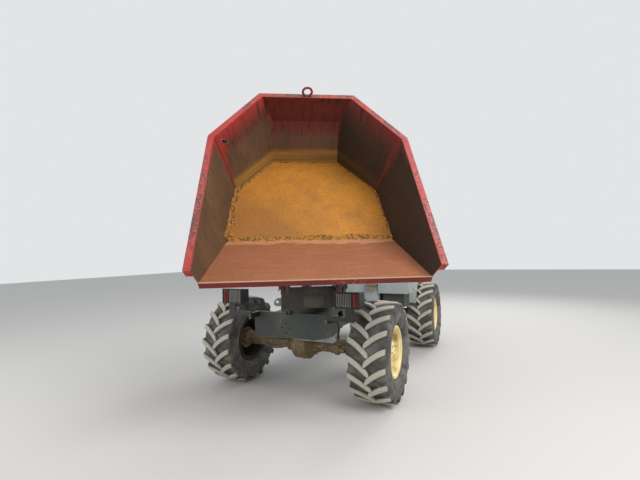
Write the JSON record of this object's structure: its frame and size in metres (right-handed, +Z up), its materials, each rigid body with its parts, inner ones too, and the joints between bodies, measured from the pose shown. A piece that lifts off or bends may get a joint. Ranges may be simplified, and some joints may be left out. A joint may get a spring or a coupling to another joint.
{
  "type": "articulated site dumper",
  "caption": "Open four-wheel site dumper with a folded-plate swivel skip, shown slewed and tipped, articulated steering, lugged tyres and a folding roll bar.",
  "frame": {"origin": "centre of the bounding box's footprint, at ground level under the tyres", "axes": "+Z up, -Y the machine's forward direction, +X its left side"},
  "size_m": [2.9431, 5.4424, 3.3314],
  "materials": {
    "skip_floor_rust": "worn through to ochre rust",
    "skip_wall_rust": "worn through to brown rust",
    "skip_quarter_rust": "dark brown rust",
    "skip_rear_red": "faded dark red over rust",
    "rim_red": "scuffed faded red",
    "frame_grey": "matt dark grey, dusty",
    "axle_mud": "mud covered",
    "body_grey": "satin light grey",
    "rim_cream": "satin cream, dusty",
    "tyre": "dusty black",
    "ram_chrome": "polished",
    "ram_paint": "matt dark grey",
    "lamp_housing": "matt black",
    "seat_black": "matt black",
    "black_steel": "matt black",
    "control_black": "matt black"
  },
  "bodies": {
    "rear_unit": {"rear_chassis": "frame_grey", "rear_axle": "axle_mud", "deck": "black_steel", "front_cowl": "body_grey", "hydraulic_hoses": "control_black", "console": "control_black", "steering_wheel": "control_black", "seat_base": "black_steel", "seat_cushion": "seat_black", "seat_back": "seat_black", "engine": "axle_mud", "roll_bar_posts": "black_steel", "mudguards": "black_steel", "fuel_tank": "body_grey", "hydraulic_tank": "body_grey", "tow_hitch": "frame_grey", "rear_lamps": "lamp_housing", "exhaust": "black_steel"},
    "front_unit": {"front_chassis": "frame_grey", "articulation_pin": "frame_grey", "front_plate": "frame_grey", "front_axle": "axle_mud", "front_lamps": "lamp_housing"},
    "turret": {"turret": "frame_grey"},
    "skip": {"skip_floor": "skip_floor_rust", "skip_front_wall": "skip_wall_rust", "skip_side_walls": "skip_wall_rust", "skip_quarter_walls": "skip_quarter_rust", "skip_rear_wall": "skip_rear_red", "skip_rim": "rim_red", "skip_lip_bar": "rim_red", "skip_carrier": "frame_grey", "skip_lifting_eye": "frame_grey"},
    "tip_ram_barrel": {"tip_ram_barrel": "ram_paint"},
    "tip_ram_rod": {"tip_ram_rod": "ram_chrome"},
    "steer_ram_barrel": {"steer_ram_barrel": "ram_paint"},
    "steer_ram_rod": {"steer_ram_rod": "ram_chrome"},
    "roll_bar": {"roll_bar": "black_steel"},
    "bonnet": {"bonnet": "body_grey"},
    "wheel_front_left": {"tyre_front_left": "tyre", "rim_front_left": "rim_cream"},
    "wheel_front_right": {"tyre_front_right": "tyre", "rim_front_right": "rim_cream"},
    "wheel_rear_left": {"tyre_rear_left": "tyre", "rim_rear_left": "rim_cream"},
    "wheel_rear_right": {"tyre_rear_right": "tyre", "rim_rear_right": "rim_cream"}
  },
  "joints": [
    {"name": "steering", "type": "hinge", "parent": "rear_unit", "child": "front_unit", "pos_m": [-0.31305, 0.5292, 0.8], "axis": [0, 0, 1], "range_deg": [-30, 30]},
    {"name": "skip_swivel", "type": "hinge", "parent": "front_unit", "child": "turret", "pos_m": [-0.31305, -0.7038, 1], "axis": [0, 0, 1], "range_deg": [-122, 58]},
    {"name": "skip_tip", "type": "hinge", "parent": "turret", "child": "skip", "pos_m": [0.21687, -1.55185, 1.3], "axis": [0.848, 0.5299, 0], "range_deg": [-60.3, 14.7]},
    {"name": "tip_ram_pivot", "type": "hinge", "parent": "turret", "child": "tip_ram_barrel", "pos_m": [-0.49852, -0.40698, 1.13], "axis": [0.848, 0.5299, 0], "range_deg": [-2.1, 8.3]},
    {"name": "tip_ram_stroke", "type": "slide", "parent": "tip_ram_barrel", "child": "tip_ram_rod", "axis": [0.4986, -0.798, 0.3384], "range_m": [-0.25, 0.065]},
    {"name": "steer_ram_pivot", "type": "hinge", "parent": "rear_unit", "child": "steer_ram_barrel", "pos_m": [0.03695, 1.2212, 0.735], "axis": [0, 0, 1], "range_deg": [-3.2, 3.2]},
    {"name": "steer_ram_stroke", "type": "slide", "parent": "steer_ram_barrel", "child": "steer_ram_rod", "axis": [-0.063, -0.998, 0], "range_m": [-0.16, 0.16]},
    {"name": "roll_bar_fold", "type": "hinge", "parent": "rear_unit", "child": "roll_bar", "pos_m": [-0.31305, 1.6062, 1.42], "axis": [1, 0, 0], "range_deg": [-90, 0]},
    {"name": "bonnet_lift", "type": "hinge", "parent": "rear_unit", "child": "bonnet", "pos_m": [-0.31305, 2.5832, 0.897], "axis": [-1, 0, 0], "range_deg": [0, 55]},
    {"name": "front_left_wheel_spin", "type": "hinge", "parent": "front_unit", "child": "wheel_front_left", "pos_m": [0.63045, -0.7788, 0.5375], "axis": [1, 0, 0], "continuous": true},
    {"name": "front_right_wheel_spin", "type": "hinge", "parent": "front_unit", "child": "wheel_front_right", "pos_m": [-1.25655, -0.7788, 0.5375], "axis": [1, 0, 0], "continuous": true},
    {"name": "rear_left_wheel_spin", "type": "hinge", "parent": "rear_unit", "child": "wheel_rear_left", "pos_m": [0.63045, 1.8372, 0.5375], "axis": [1, 0, 0], "continuous": true},
    {"name": "rear_right_wheel_spin", "type": "hinge", "parent": "rear_unit", "child": "wheel_rear_right", "pos_m": [-1.25655, 1.8372, 0.5375], "axis": [1, 0, 0], "continuous": true}
  ],
  "couplings": [
    {"joint": "tip_ram_pivot", "follows": "skip_tip", "ratio": -0.13},
    {"joint": "tip_ram_stroke", "follows": "skip_tip", "m_per_rad": 0.23},
    {"joint": "steer_ram_pivot", "follows": "steering", "ratio": 0.1},
    {"joint": "steer_ram_stroke", "follows": "steering", "m_per_rad": -0.3}
  ]
}
